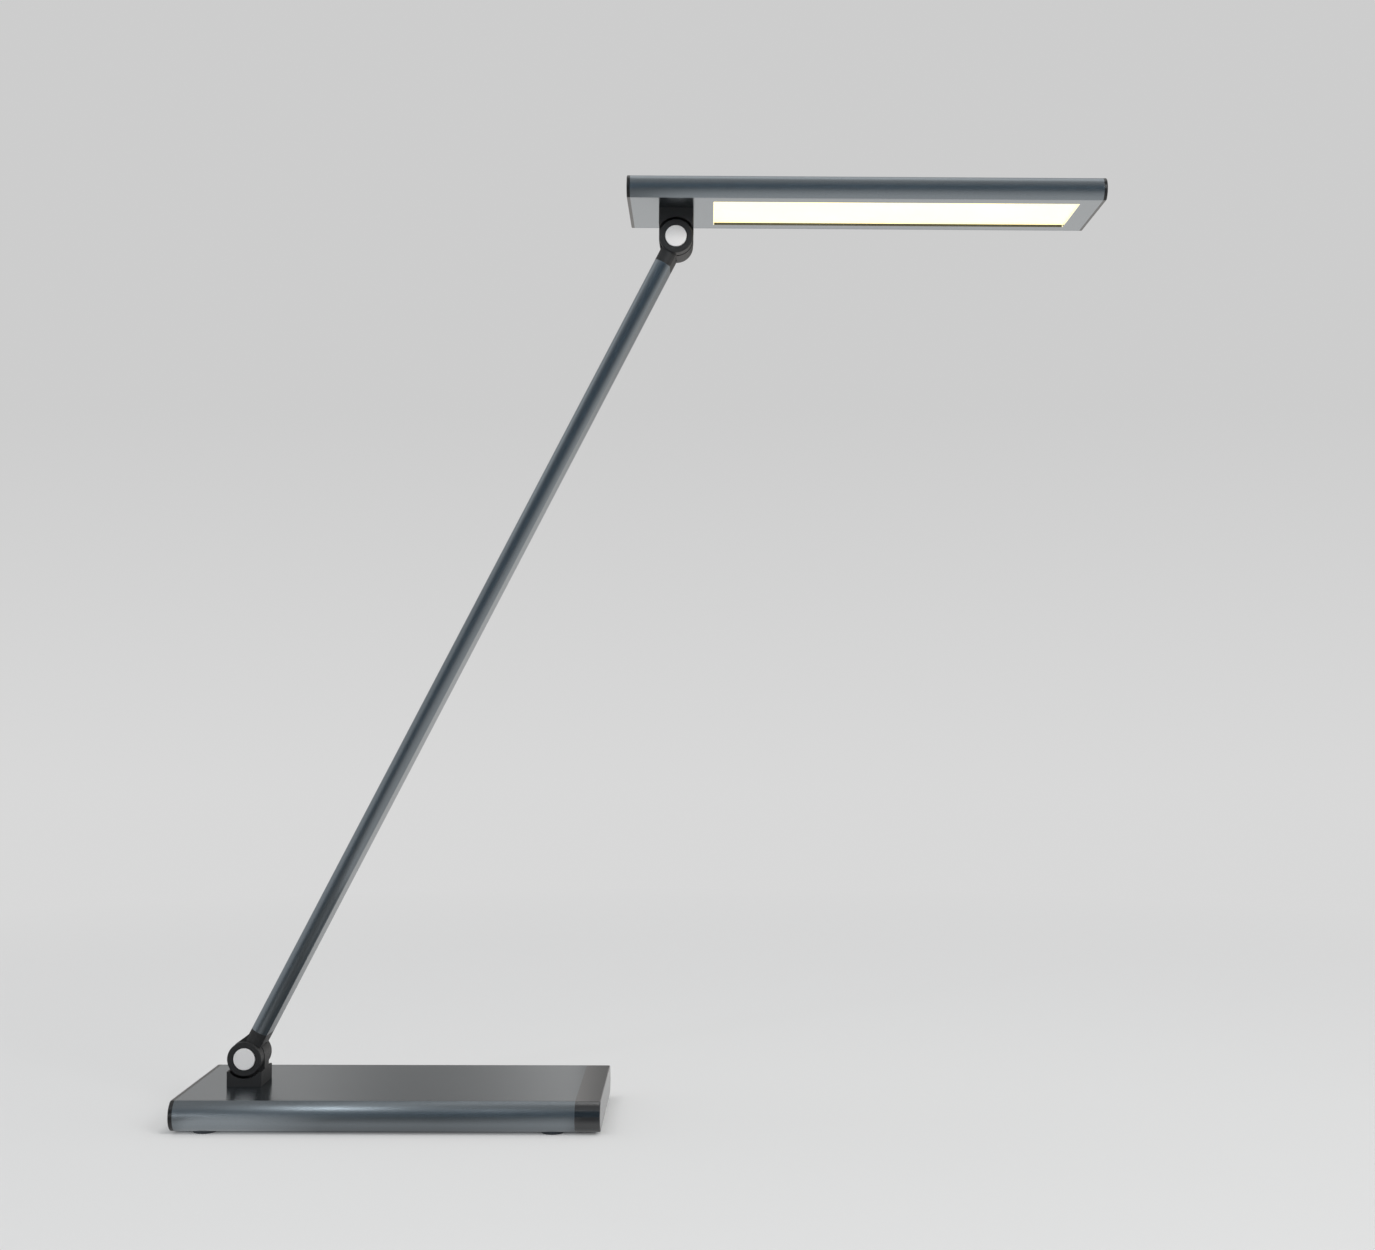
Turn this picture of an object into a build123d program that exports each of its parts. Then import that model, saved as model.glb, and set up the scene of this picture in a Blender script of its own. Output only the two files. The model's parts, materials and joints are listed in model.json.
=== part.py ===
from build123d import *
import os
from math import acos, atan2, cos, hypot, radians, sin, sqrt

# A desk lamp of three bowed aluminium extrusions: base, leaning arm and slim light head.
# A friction hinge joins the arm to the base and another joins the head to the arm.
# Each extrusion is built along +X, and Z = 0 is the desk. All sizes are in millimetres.

# Base extrusion and its end caps
BASE_LENGTH = 200.0
BASE_FLAT_DEPTH = 86.7
BASE_THICKNESS = 14.0
BASE_BULGE = 4.8
BASE_WALL = 1.8
BASE_LEFT_FLANGE = 2.0
BASE_RIGHT_FLANGE = 11.8
BASE_CAP_FACE = 2.0
BASE_EDGE = 0.5
BASE_SPIGOT_REACH = 7.0

# Arm extrusion
ARM_LENGTH = 450.0  # pivot to pivot
ARM_LEAN = 27.5  # degrees forward of upright
ARM_WIDTH = 8.0
ARM_FLAT_DEPTH = 16.6
ARM_BULGE = 2.7
ARM_WALL = 1.2
ARM_EDGE = 0.3

# Head extrusion and its end caps
HEAD_LENGTH = 229.2
HEAD_FLAT_DEPTH = 60.0
HEAD_THICKNESS = 10.6
HEAD_BULGE = 3.3
HEAD_WALL = 1.2
HEAD_EDGE = 0.4
HEAD_FLANGE = 1.6
HEAD_SPIGOT_REACH = 6.0
HEAD_DROOP = 0.52  # degrees, right end down

# End caps: rim of the outer face, and the spigots' wall and clearance in an extrusion, per side
CAP_RIM = 0.3
SPIGOT_WALL = 1.5
SPIGOT_FIT = 0.05

# Pivots: place along the base and the head, and distance from the face that carries the bracket
BASE_PIVOT_INSET = 26.5
BASE_PIVOT_RISE = 13.0
HEAD_PIVOT_INSET = 23.4
HEAD_PIVOT_RISE = 13.9

# Brackets: a block with two cradles and a tongue between the fork's cheeks
BRACKET_WIDTH = 16.8
BRACKET_DEPTH = 23.0
BRACKET_EDGE = 0.5  # rounding of the upright edges
HORN_DROP = 6.0  # pivot to the top of the cradle's horns
CRADLE_GAP = 1.2
TONGUE_THICKNESS = 9.0

# Forks: round cheeks, a neck that continues the arm and a web on the back of the neck
RING_RADIUS = 8.2
RING_EDGE = 0.3
FORK_DEPTH = 23.4
SLOT_WIDTH = 10.0
SLOT_GAP = 0.8  # tongue's round end to the slot's floor
SEAM_REACH = 14.2  # pivot to the end of the tube
LOWER_WEB_REACH = 10.9
UPPER_WEB_REACH = 8.6
FORK_SPIGOT_REACH = 20.0
FORK_SCREW_REACH = 10.0  # seam to the screw

# Pivot bolt, nut, washers and the bright caps that hide them
BOLT_RADIUS = 2.0
BOLT_FIT = 0.05
BOLT_HEAD_RADIUS = 3.5
BOLT_HEAD_HEIGHT = 2.2
HEX_KEY_FLATS = 2.5
HEX_KEY_DEPTH = 1.2
NUT_FLATS = 7.0
NUT_HEIGHT = 2.4
BOLT_OVERHANG = 0.4  # thread standing past the nut
POCKET_RADIUS = 4.4
POCKET_FLOOR = 1.9  # cheek left between slot and pocket
SPRING_RADIUS = 4.1
SPRING_THICKNESS = 0.4
SPRING_HEIGHT = 0.8
WASHER_RADIUS = 7.0
WASHER_THICKNESS = 0.45
CAP_RADIUS = 5.25
CAP_SEAT_GAP = 0.25
CAP_THICKNESS = 1.0
CAP_RECESS = 0.1
CAP_EDGE = 0.2

# Bracket screws, and the wire way past the pivot
SCREW_RADIUS = 1.25
SCREW_FIT = 0.05
SCREW_REACH = 3.6  # thread inside the bracket
SCREW_HEAD_RADIUS = 2.3
SCREW_HEAD_HEIGHT = 1.6
SCREW_SPACING_X = 11.6
SCREW_SPACING_Y = 15.6
WIRE_OFFSET = 5.2  # pivot to the wire way, along the bracket's width
WIRE_RADIUS = 1.25
WIRE_FIT = 0.05
WIRE_BEND = 3.0
WIRE_SIDES = 8  # of a lead's section

# Countersunk screws of the ballast and of the forks
BALLAST_SCREW_RADIUS = 2.0
BALLAST_SCREW_HEAD = 3.6
BALLAST_SCREW_REACH = 6.0
BALLAST_SCREW_INSET = 12.0
FORK_SCREW_RADIUS = 1.25
FORK_SCREW_HEAD = 2.3
FORK_SCREW_LENGTH = 2.5

# Ballast between the rails of the base, from beside the bracket to beside the driver board
BALLAST_BRACKET_GAP = 5.1
BALLAST_BOARD_GAP = 5.0
BALLAST_SIDE_ROOM = 3.35  # to the edge of the base's flat, for a rail and a lead
BALLAST_HEADROOM = 0.4
BALLAST_CORNER = 3.0
BALLAST_FIT = 0.1
RAIL_WIDTH = 1.6
RAIL_HEIGHT = 2.0

# Feet
FOOT_RADIUS = 5.5
FOOT_HEIGHT = 1.7
FOOT_EDGE = 0.4
FOOT_LEFT_INSET = 14.6
FOOT_RIGHT_INSET = 22.7
FOOT_SIDE_INSET = 6.35  # from the edge of the base's flat

# Power inlet, at the back of the base's left end
INLET_OFFSET = 25.0
INLET_SIZE = 9.0
INLET_LENGTH = 13.0
INLET_BORE = 3.0
INLET_DEPTH = 9.5
INLET_MOUTH = 3.6  # hole in the end cap
DC_PIN_RADIUS = 1.05
DC_PIN_LENGTH = 9.0

# Driver board beside the right cap's spigot
BOARD_GAP = 1.2
BOARD_LENGTH = 26.0
BOARD_DEPTH = 64.0
BOARD_THICKNESS = 1.6
BOARD_MARGIN = 3.0
SPACER_RADIUS = 2.5
SPACER_HEIGHT = 1.5
SPACER_PIN = 1.2
PLUG_LENGTH = 6.0
PLUG_DEPTH = 6.0
PLUG_HEIGHT = 4.4
PLUG_OFFSET = 24.0
CAPACITOR_RADIUS = 2.5
CAPACITOR_LENGTH = 10.0
COIL_RADIUS = 4.0
COIL_HEIGHT = 3.5
CHIP_LENGTH = 5.0
CHIP_DEPTH = 4.0
CHIP_HEIGHT = 1.3
PART_SPACING = 11.0
LEAD_GAP = 1.75  # between a lead and the side of the ballast
LEAD_RUNOUT = 5.0  # straight stretch of a lead before it turns into the channel

# Touch sensor under the top of the right cap
TOUCH_INSET = 2.5
TOUCH_LENGTH = 7.0
TOUCH_DEPTH = 50.0
TOUCH_THICKNESS = 1.0
ELECTRODE_THICKNESS = 0.2
ELECTRODE_MARGIN = 0.8
RIBBON_DEPTH = 6.0
RIBBON_THICKNESS = 0.3

# Light panel in the head
PANEL_BRACKET_GAP = 9.9
PANEL_END_MARGIN = 11.3
PANEL_SIDE_MARGIN = 7.5
PANEL_LAP = 2.5  # how far the sheets reach past the opening
DIFFUSER_THICKNESS = 1.2
GUIDE_THICKNESS = 2.4
REFLECTOR_THICKNESS = 0.3
BACK_PLATE_THICKNESS = 0.8
PANEL_RAIL_WIDTH = 1.2
PANEL_FIT = 0.1
LED_COUNT = 28
LED_LENGTH = 2.8
LED_DEPTH = 0.9
LED_HEIGHT = 2.0
LED_BOARD_THICKNESS = 1.0
PAD_END_GAP = 13.1
PAD_DEPTH = 9.0
PAD_SPACING = 28.0


class Profile:
    """A section with a flat top and bottom, joined by bowed front and back."""

    def __init__(self, flat, thickness, bulge, wall, corner):
        self.half = thickness / 2
        self.radius = (self.half**2 + bulge**2) / (2 * bulge)
        self.centre = flat / 2 + bulge - self.radius
        self.wall = wall
        self.corner = corner

    def edge(self, inset=0.0):
        """Half the flat width of the section when it is shrunk all round by inset."""
        return self.centre + sqrt((self.radius - inset) ** 2 - (self.half - inset) ** 2)

    def face(self, inset=0.0):
        """The section across X, shrunk all round by inset."""
        rise = self.half - inset
        edge = self.edge(inset)
        nose = self.centre + self.radius - inset
        outline = [
            Line((-edge, rise), (edge, rise)),
            ThreePointArc((edge, rise), (nose, 0), (edge, -rise)),
            Line((edge, -rise), (-edge, -rise)),
            ThreePointArc((-edge, -rise), (-nose, 0), (-edge, rise)),
        ]
        return make_face(outline)

    def bar(self, start, end, inset=0.0):
        """A solid length of the section, from X = start to X = end."""
        return Pos(start, 0, 0) * extrude(Plane.YZ * self.face(inset), amount=end - start)

    def rounded_bar(self, start, end):
        """The same at full size, with the outer corners rounded."""
        section = self.face()
        section = fillet(section.vertices(), self.corner)
        return Pos(start, 0, 0) * extrude(Plane.YZ * section, amount=end - start)

    def tube(self, start, end):
        """A hollow length of the section."""
        return self.rounded_bar(start, end) - self.bar(start, end, self.wall)


BASE = Profile(BASE_FLAT_DEPTH, BASE_THICKNESS, BASE_BULGE, BASE_WALL, BASE_EDGE)
ARM = Profile(ARM_FLAT_DEPTH, ARM_WIDTH, ARM_BULGE, ARM_WALL, ARM_EDGE)
HEAD = Profile(HEAD_FLAT_DEPTH, HEAD_THICKNESS, HEAD_BULGE, HEAD_WALL, HEAD_EDGE)


# Small helpers

def block(x, y, z):
    """A box over three (low, high) ranges."""
    size = [high - low for low, high in (x, y, z)]
    middle = [(high + low) / 2 for low, high in (x, y, z)]
    return Pos(*middle) * Box(*size)


def around(middle, size):
    """The (low, high) range of a size about a middle."""
    return (middle - size / 2, middle + size / 2)


def rod_x(radius, start, end, y=0.0, z=0.0):
    return Pos(start, y, z) * extrude(Plane.YZ * Circle(radius), amount=end - start)


def rod_y(radius, start, end, x=0.0, z=0.0):
    return Pos(x, end, z) * extrude(Plane.XZ * Circle(radius), amount=end - start)


def rod_z(radius, start, end, x=0.0, y=0.0):
    return Pos(x, y, start) * extrude(Circle(radius), amount=end - start)


def hexagon_z(radius, start, end, x=0.0, y=0.0):
    return Pos(x, y, start) * extrude(RegularPolygon(radius, 6), amount=end - start)


def lead(points):
    """A lead along straight runs joined by bends."""
    path = FilletPolyline(*points, radius=WIRE_BEND)
    start = Plane(origin=path @ 0, z_dir=path % 0)
    return sweep(start * RegularPolygon(WIRE_RADIUS, WIRE_SIDES), path=path)


def countersunk(radius, head_radius, length):
    """A flat-headed screw: head face at Z = 0, shank towards -Z."""
    cone = head_radius - radius
    shank = rod_z(radius, -length, -cone)
    return shank + Pos(0, 0, -cone / 2) * Cone(radius, head_radius, cone)


def corners(spacing_x, spacing_y):
    """Four places around the origin."""
    return [(x * spacing_x / 2, y * spacing_y / 2) for x in (-1, 1) for y in (-1, 1)]


# Frames of the three bodies: X runs along the extrusion

lean = radians(ARM_LEAN)
droop = radians(HEAD_DROOP)
head_reach = (HEAD_LENGTH - HEAD_PIVOT_INSET) * cos(droop) + HEAD_PIVOT_RISE * sin(droop)
reach = BASE_PIVOT_INSET + ARM_LENGTH * sin(lean) + head_reach
base_left = -reach / 2
base_top = FOOT_HEIGHT + BASE_THICKNESS
lower_pivot = Vector(base_left + BASE_PIVOT_INSET, 0, base_top + BASE_PIVOT_RISE)
upper_pivot = lower_pivot + Vector(ARM_LENGTH * sin(lean), 0, ARM_LENGTH * cos(lean))

# The base's frame starts at its left end, on its underside
base_frame = Location((base_left, 0, FOOT_HEIGHT))
# The arm's frame starts at the lower pivot, and its +Z side faces back and up
arm_frame = Location(lower_pivot) * Rot(0, ARM_LEAN - 90, 0)
# The head's frame starts at its left end, on its underside
head_turn = Location(upper_pivot) * Rot(0, HEAD_DROOP, 0)
head_frame = head_turn * Pos(-HEAD_PIVOT_INSET, 0, HEAD_PIVOT_RISE)
# A bracket's frame starts at its pivot, with the tongue pointing along +Z
base_bracket_frame = Location(lower_pivot)
head_bracket_frame = head_turn * Rot(0, 180, 0)


# Brackets

def bracket_screw_places():
    """Two opposite corners, beside the wire way and clear of the cradles' floors."""
    x, y = SCREW_SPACING_X / 2, SCREW_SPACING_Y / 2
    return [(x, y), (-x, -y)]


def bracket(rise):
    """A block with round cradles front and back and a tongue in the middle."""
    half = BRACKET_WIDTH / 2
    body = block((-half, half), around(0, BRACKET_DEPTH), (-rise, -HORN_DROP))
    body = fillet(body.edges().filter_by(Axis.Z), BRACKET_EDGE)
    body -= rod_y(RING_RADIUS + CRADLE_GAP, -BRACKET_DEPTH, BRACKET_DEPTH)
    tongue = block((-half, half), around(0, TONGUE_THICKNESS), (-rise, 0))
    tongue += rod_y(half, *around(0, TONGUE_THICKNESS))
    body += tongue
    body -= rod_y(BOLT_RADIUS + BOLT_FIT, *around(0, BRACKET_DEPTH))
    body -= rod_z(WIRE_RADIUS + WIRE_FIT, -rise, BRACKET_WIDTH, WIRE_OFFSET)
    for x, y in bracket_screw_places():
        body -= rod_z(SCREW_RADIUS + SCREW_FIT, -rise, SCREW_REACH - rise, x, y)
    return body


def bracket_holes(rise, wall):
    """What the bracket's screws and its lead take out of the wall under it."""
    holes = [rod_z(WIRE_RADIUS + WIRE_FIT, -rise - wall, -rise, WIRE_OFFSET)]
    for x, y in bracket_screw_places():
        holes.append(rod_z(SCREW_RADIUS + SCREW_FIT, -rise - wall, -rise, x, y))
    return holes


def bracket_screws(rise, wall):
    """Hex-head screws from inside the extrusion into the bracket."""
    seat = -rise - wall
    screws = []
    for x, y in bracket_screw_places():
        shank = rod_z(SCREW_RADIUS, seat, SCREW_REACH - rise, x, y)
        head = hexagon_z(SCREW_HEAD_RADIUS, seat - SCREW_HEAD_HEIGHT, seat, x, y)
        screws.append(shank + head)
    return screws


# Base

def end_cap(profile, flange, face, spigot):
    """A cap on the +X end: outer flange from X = 0, hollow spigot towards -X."""
    inset = profile.wall + SPIGOT_FIT
    plate = profile.rounded_bar(0, flange)
    plate = chamfer(plate.faces().sort_by(Axis.X)[-1].edges(), CAP_RIM)
    body = plate + profile.bar(-spigot, 0, inset)
    return body - profile.bar(-spigot, flange - face, inset + SPIGOT_WALL)


def at_base_middle(shape):
    """Lifts a section-centred shape to the middle of the base's thickness."""
    return Pos(0, 0, base_middle) * shape


base_bore_end = BASE_LENGTH - BASE_RIGHT_FLANGE
base_middle = BASE_THICKNESS / 2
board_end = base_bore_end - BASE_SPIGOT_REACH - BOARD_GAP
board_start = board_end - BOARD_LENGTH
board_floor = BASE_WALL + SPACER_HEIGHT
board_top = board_floor + BOARD_THICKNESS
plug_middle = board_start + BOARD_MARGIN + PLUG_LENGTH / 2
ballast_start = BASE_PIVOT_INSET + BRACKET_WIDTH / 2 + BALLAST_BRACKET_GAP
ballast_end = board_start - BALLAST_BOARD_GAP
ballast_half = BASE_FLAT_DEPTH / 2 - BALLAST_SIDE_ROOM
lead_channel = ballast_half + LEAD_GAP + WIRE_RADIUS


def ballast_screw_places():
    """One near each end of the ballast, on its centre line."""
    return [(ballast_start + BALLAST_SCREW_INSET, 0), (ballast_end - BALLAST_SCREW_INSET, 0)]


def base_extrusion():
    body = at_base_middle(BASE.tube(BASE_LEFT_FLANGE, base_bore_end))
    rail_start = BASE_LEFT_FLANGE + BASE_SPIGOT_REACH + SPIGOT_FIT
    rail_end = base_bore_end - BASE_SPIGOT_REACH - SPIGOT_FIT
    inner = ballast_half + BALLAST_FIT
    for low in (inner, -inner - RAIL_WIDTH):
        height = (BASE_WALL, BASE_WALL + RAIL_HEIGHT)
        body += block((rail_start, rail_end), (low, low + RAIL_WIDTH), height)
    for hole in bracket_holes(BASE_PIVOT_RISE, BASE_WALL):
        body -= base_frame.inverse() * base_bracket_frame * hole
    for place in ballast_screw_places():
        body -= Pos(*place, 0) * ballast_screw(BOLT_FIT)
    return body


def ballast_screw(room=0.0):
    screw = countersunk(
        BALLAST_SCREW_RADIUS + room, BALLAST_SCREW_HEAD + room, BASE_WALL + BALLAST_SCREW_REACH + room
    )
    return Rot(180, 0, 0) * screw


def ballast_screws():
    return [Pos(*place, 0) * ballast_screw() for place in ballast_screw_places()]


def ballast_plate():
    height = (BASE_WALL, BASE_THICKNESS - BASE_WALL - BALLAST_HEADROOM)
    body = block((ballast_start, ballast_end), (-ballast_half, ballast_half), height)
    body = fillet(body.edges().filter_by(Axis.Z), BALLAST_CORNER)
    for place in ballast_screw_places():
        body -= Pos(*place, 0) * ballast_screw(BOLT_FIT)
    return body


def base_left_cap():
    cap = end_cap(BASE, BASE_LEFT_FLANGE, BASE_LEFT_FLANGE, BASE_SPIGOT_REACH)
    cap = Pos(BASE_LEFT_FLANGE, 0, 0) * Rot(0, 0, 180) * cap
    cap -= rod_x(INLET_MOUTH, 0, BASE_LEFT_FLANGE, INLET_OFFSET)
    room = INLET_SIZE + 2 * SPIGOT_FIT
    spigot_end = BASE_LEFT_FLANGE + BASE_SPIGOT_REACH
    cap -= block((BASE_LEFT_FLANGE, spigot_end), around(INLET_OFFSET, room), around(0, room))
    return at_base_middle(cap)


def base_right_cap():
    cap = end_cap(BASE, BASE_RIGHT_FLANGE, BASE_CAP_FACE, BASE_SPIGOT_REACH)
    return at_base_middle(Pos(base_bore_end, 0, 0) * cap)


def dc_inlet():
    """A square socket body behind the left cap, bored for a barrel plug."""
    end = BASE_LEFT_FLANGE + INLET_LENGTH
    body = block((BASE_LEFT_FLANGE, end), around(INLET_OFFSET, INLET_SIZE), around(0, INLET_SIZE))
    bore_end = BASE_LEFT_FLANGE + INLET_DEPTH
    body -= rod_x(INLET_BORE, BASE_LEFT_FLANGE, bore_end, INLET_OFFSET)
    return at_base_middle(body)


def dc_pin():
    end = BASE_LEFT_FLANGE + INLET_DEPTH
    return at_base_middle(rod_x(DC_PIN_RADIUS, end - DC_PIN_LENGTH, end, INLET_OFFSET))


def board_corners():
    middle = (board_start + board_end) / 2
    spread = corners(BOARD_LENGTH - 2 * BOARD_MARGIN, BOARD_DEPTH - 2 * BOARD_MARGIN)
    return [(middle + x, y) for x, y in spread]


def driver_board():
    body = block((board_start, board_end), around(0, BOARD_DEPTH), (board_floor, board_top))
    for x, y in board_corners():
        body -= hexagon_z(SPACER_PIN + BOLT_FIT, board_floor, board_top, x, y)
    return body


def board_spacers():
    """Hexagonal spacers: a foot on the base's floor and a pin through the board."""
    spacers = []
    for x, y in board_corners():
        foot = hexagon_z(SPACER_RADIUS, BASE_WALL, board_floor, x, y)
        spacers.append(foot + hexagon_z(SPACER_PIN, board_floor, board_top + SPACER_PIN, x, y))
    return spacers


def driver_components():
    """Two plugs, a lying capacitor, a wound coil and two chips on the board."""
    parts = []
    plug_height = (board_top, board_top + PLUG_HEIGHT)
    for side in (-PLUG_OFFSET, PLUG_OFFSET):
        parts.append(block(around(plug_middle, PLUG_LENGTH), around(side, PLUG_DEPTH), plug_height))
    middle = (board_start + board_end) / 2
    parts.append(
        rod_x(CAPACITOR_RADIUS, *around(middle, CAPACITOR_LENGTH), z=board_top + CAPACITOR_RADIUS)
    )
    parts.append(rod_z(COIL_RADIUS, board_top, board_top + COIL_HEIGHT, middle, PART_SPACING))
    for x in around(middle, PART_SPACING):
        height = (board_top, board_top + CHIP_HEIGHT)
        parts.append(block(around(x, CHIP_LENGTH), around(-PART_SPACING, CHIP_DEPTH), height))
    return parts


cap_cavity_top = BASE_THICKNESS - BASE_WALL - SPIGOT_FIT - SPIGOT_WALL
touch_start = base_bore_end + TOUCH_INSET
touch_top = cap_cavity_top - ELECTRODE_THICKNESS


def touch_board():
    length = (touch_start, touch_start + TOUCH_LENGTH)
    return block(length, around(0, TOUCH_DEPTH), (touch_top - TOUCH_THICKNESS, touch_top))


def touch_electrode():
    length = (touch_start + ELECTRODE_MARGIN, touch_start + TOUCH_LENGTH - ELECTRODE_MARGIN)
    depth = TOUCH_DEPTH - 2 * ELECTRODE_MARGIN
    return block(length, around(0, depth), (touch_top, cap_cavity_top))


def base_feet():
    feet = []
    for x in (FOOT_LEFT_INSET, BASE_LENGTH - FOOT_RIGHT_INSET):
        for y in around(0, BASE_FLAT_DEPTH - 2 * FOOT_SIDE_INSET):
            foot = rod_z(FOOT_RADIUS, -FOOT_HEIGHT, 0, x, y)
            rim = foot.edges().filter_by(GeomType.CIRCLE).sort_by(Axis.Z)[0]
            feet.append(chamfer(rim, FOOT_EDGE))
    return feet


def inlet_lead():
    """From the socket, along the back of the ballast, to the board's rear plug."""
    start = BASE_LEFT_FLANGE + INLET_LENGTH
    turn = lead_channel - INLET_OFFSET
    return lead(
        [
            (start, INLET_OFFSET, base_middle),
            (start + LEAD_RUNOUT, INLET_OFFSET, base_middle),
            (start + LEAD_RUNOUT + turn, lead_channel, base_middle),
            (plug_middle, lead_channel, base_middle),
            (plug_middle, PLUG_OFFSET + PLUG_DEPTH / 2, base_middle),
        ]
    )


def base_lead():
    """From the board's front plug, along the front of the ballast, up into the bracket."""
    wire_x = BASE_PIVOT_INSET + WIRE_OFFSET
    return lead(
        [
            (plug_middle, -PLUG_OFFSET - PLUG_DEPTH / 2, base_middle),
            (plug_middle, -lead_channel, base_middle),
            (wire_x, -lead_channel, base_middle),
            (wire_x, 0, base_middle),
            (wire_x, 0, BASE_THICKNESS + BASE_PIVOT_RISE),
        ]
    )


def touch_lead():
    """A flat ribbon from the top of the driver board up and under the touch board."""
    start = board_end - BOARD_MARGIN
    end = touch_start + TOUCH_LENGTH
    top = touch_top - TOUCH_THICKNESS
    width = around(0, RIBBON_DEPTH)
    upright = block((start, start + RIBBON_THICKNESS), width, (board_top, top))
    return upright + block((start, end), width, (top - RIBBON_THICKNESS, top))


# Arm

def web_face(web_reach):
    """The web from a tangent of the ring to the back edge of the neck."""
    back = ARM_WIDTH / 2
    kink = atan2(back, web_reach)
    touch = kink + acos(RING_RADIUS / hypot(web_reach, back))
    tangent = (RING_RADIUS * cos(touch), RING_RADIUS * sin(touch))
    return make_face(Polyline((0, 0), (web_reach, 0), (web_reach, back), tangent, close=True))


def fork(web_reach):
    """Two round cheeks, a neck, a web and a spigot; pivot at the origin, arm along +X."""
    ring = rod_y(RING_RADIUS, *around(0, FORK_DEPTH))
    ring = chamfer(ring.edges().filter_by(GeomType.CIRCLE), RING_EDGE)
    neck = ARM.bar(0, SEAM_REACH)
    web = extrude(Plane.XZ * web_face(web_reach), amount=ARM_FLAT_DEPTH / 2, both=True)
    inset = ARM_WALL + SPIGOT_FIT
    spigot = ARM.bar(SEAM_REACH, SEAM_REACH + FORK_SPIGOT_REACH, inset)
    body = ring + neck + web + spigot
    body -= rod_y(BRACKET_WIDTH / 2 + SLOT_GAP, *around(0, SLOT_WIDTH))
    body -= rod_x(WIRE_RADIUS + WIRE_FIT, 0, SEAM_REACH + FORK_SPIGOT_REACH)
    body -= rod_y(BOLT_RADIUS + BOLT_FIT, *around(0, FORK_DEPTH))
    for pocket in fork_pockets():
        body -= pocket
    return body - Pos(SEAM_REACH + FORK_SCREW_REACH, 0, ARM_WIDTH / 2) * fork_screw(SCREW_FIT)


face_y = FORK_DEPTH / 2
seat_y = face_y - CAP_RECESS - CAP_THICKNESS
pocket_y = SLOT_WIDTH / 2 + POCKET_FLOOR


def fork_pockets():
    """The seats of the bright caps, and the pockets of bolt head and nut under them."""
    pockets = []
    for turn in (0, 180):
        seat = rod_y(CAP_RADIUS + CAP_SEAT_GAP, seat_y, face_y)
        pocket = rod_y(POCKET_RADIUS, pocket_y, seat_y)
        pockets.append(Rot(0, 0, turn) * (seat + pocket))
    return pockets


def fork_screw(room=0.0):
    return countersunk(FORK_SCREW_RADIUS + room, FORK_SCREW_HEAD + room, FORK_SCREW_LENGTH + room)


def fork_screw_places():
    """On the hidden back side of the tube, over each spigot."""
    inset = SEAM_REACH + FORK_SCREW_REACH
    return [Pos(x, 0, ARM_WIDTH / 2) for x in (inset, ARM_LENGTH - inset)]


def fork_screws():
    return [place * fork_screw() for place in fork_screw_places()]


def arm_tube():
    body = ARM.tube(SEAM_REACH, ARM_LENGTH - SEAM_REACH)
    for place in fork_screw_places():
        body -= place * fork_screw(SCREW_FIT)
    return body


def arm_lead():
    """Through the tube, from slot to slot of the forks."""
    start = BRACKET_WIDTH / 2 + SLOT_GAP
    return rod_x(WIRE_RADIUS, start, ARM_LENGTH - start)


def pivot_bolt():
    """A socket-head bolt from the front pocket to past the nut."""
    under_head = -pocket_y - SPRING_HEIGHT
    end = pocket_y + NUT_HEIGHT + BOLT_OVERHANG
    top = under_head - BOLT_HEAD_HEIGHT
    bolt = rod_y(BOLT_RADIUS, under_head, end) + rod_y(BOLT_HEAD_RADIUS, top, under_head)
    key = RegularPolygon(HEX_KEY_FLATS / 2, 6, major_radius=False)
    return bolt - Pos(0, top + HEX_KEY_DEPTH, 0) * extrude(Plane.XZ * key, amount=HEX_KEY_DEPTH)


def pivot_nut():
    hexagon = RegularPolygon(NUT_FLATS / 2, 6, major_radius=False) - Circle(BOLT_RADIUS + BOLT_FIT)
    return Pos(0, pocket_y + NUT_HEIGHT, 0) * extrude(Plane.XZ * hexagon, amount=NUT_HEIGHT)


def spring_washer():
    """A coned spring disc between the front pocket's floor and the bolt's head."""
    inner = BOLT_RADIUS + BOLT_FIT
    low = -pocket_y - SPRING_HEIGHT
    section = Polyline(
        (inner, low),
        (SPRING_RADIUS, low + SPRING_HEIGHT - SPRING_THICKNESS),
        (SPRING_RADIUS, low + SPRING_HEIGHT),
        (inner, low + SPRING_THICKNESS),
        close=True,
    )
    return revolve(make_face(section), Axis.Y)


def friction_washers():
    """One on each side of the tongue, lying on the fork's cheeks."""
    washers = []
    for turn in (0, 180):
        outer = SLOT_WIDTH / 2
        washer = rod_y(WASHER_RADIUS, outer - WASHER_THICKNESS, outer)
        washer -= rod_y(BOLT_RADIUS + BOLT_FIT, outer - WASHER_THICKNESS, outer)
        washers.append(Rot(0, 0, turn) * washer)
    return washers


def pin_caps():
    """Bright discs that close the pockets, front and back."""
    caps = []
    for turn in (0, 180):
        cap = rod_y(CAP_RADIUS, seat_y, seat_y + CAP_THICKNESS)
        rim = cap.edges().filter_by(GeomType.CIRCLE).sort_by(Axis.Y)[-1]
        caps.append(Rot(0, 0, turn) * chamfer(rim, CAP_EDGE))
    return caps


def pivot_parts(name):
    return {
        f"{name}_bolt": pivot_bolt(),
        f"{name}_nut": pivot_nut(),
        f"{name}_spring_washer": spring_washer(),
        f"{name}_friction_washers": friction_washers(),
        f"{name}_pin_caps": pin_caps(),
    }


# Head: Z = 0 is its underside, and the panel's sheets lie on the inner face of the bottom wall

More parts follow.
